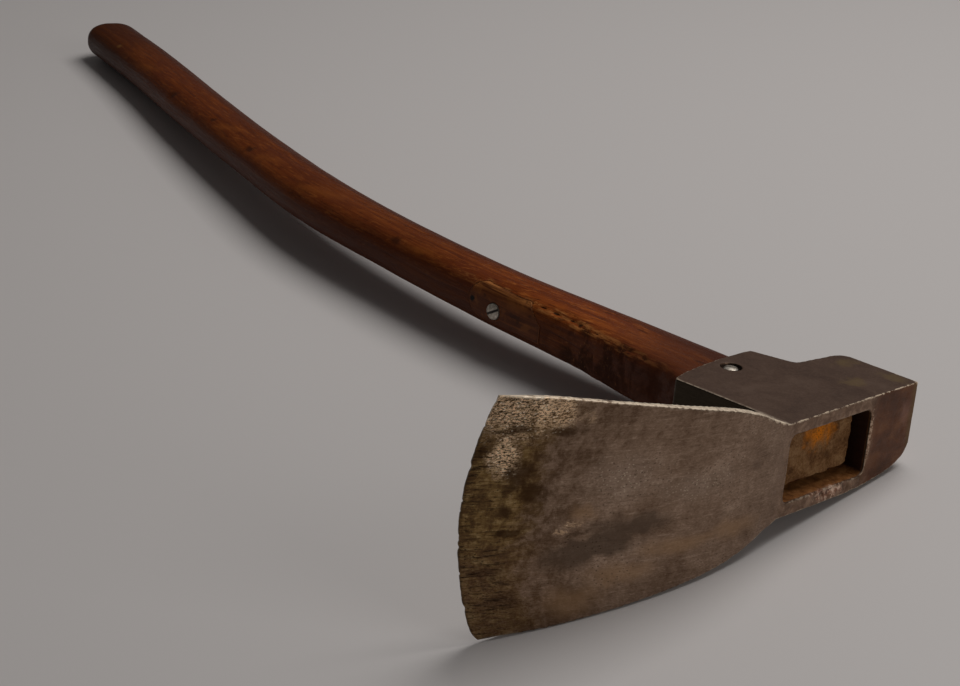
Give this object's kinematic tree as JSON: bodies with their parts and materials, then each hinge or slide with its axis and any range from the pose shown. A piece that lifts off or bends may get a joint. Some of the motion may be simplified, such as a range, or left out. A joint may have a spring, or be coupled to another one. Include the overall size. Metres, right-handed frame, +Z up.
{
  "type": "adze",
  "caption": "Wide-bladed hand adze: forged socketed head with a square poll, laid steel edge across a long curved wooden handle held by lug screws.",
  "frame": {"origin": "centre of the bounding box at floor level, with the tool lying on its side on the floor", "axes": "+Y along the handle from the head toward the grip, +X along the head from the blade toward the poll, +Z up from the floor; the tool rests on the lower corner of the cutting edge, the poll's lower edge and the end of the grip, so the head is rolled 8.4 degrees poll side down and pitched 1.0 degree"},
  "size_m": [0.4166, 0.8008, 0.1112],
  "materials": {
    "forged_iron": "old brown patina over bare forged iron, satin",
    "bit_steel": "stained grey-brown steel, satin, bright along the edge",
    "handle_wood": "worn reddish-brown ash, semi-gloss from use",
    "slip_wood": "darker brown wood, satin",
    "screw_steel": "bright worn steel"
  },
  "bodies": {
    "root": {"adze_head": "forged_iron", "steel_bit": "bit_steel", "handle": "handle_wood", "repair_slip": "slip_wood", "top_lug_screw": "screw_steel", "bottom_lug_screw": "screw_steel", "side_screw": "screw_steel"}
  },
  "joints": []
}
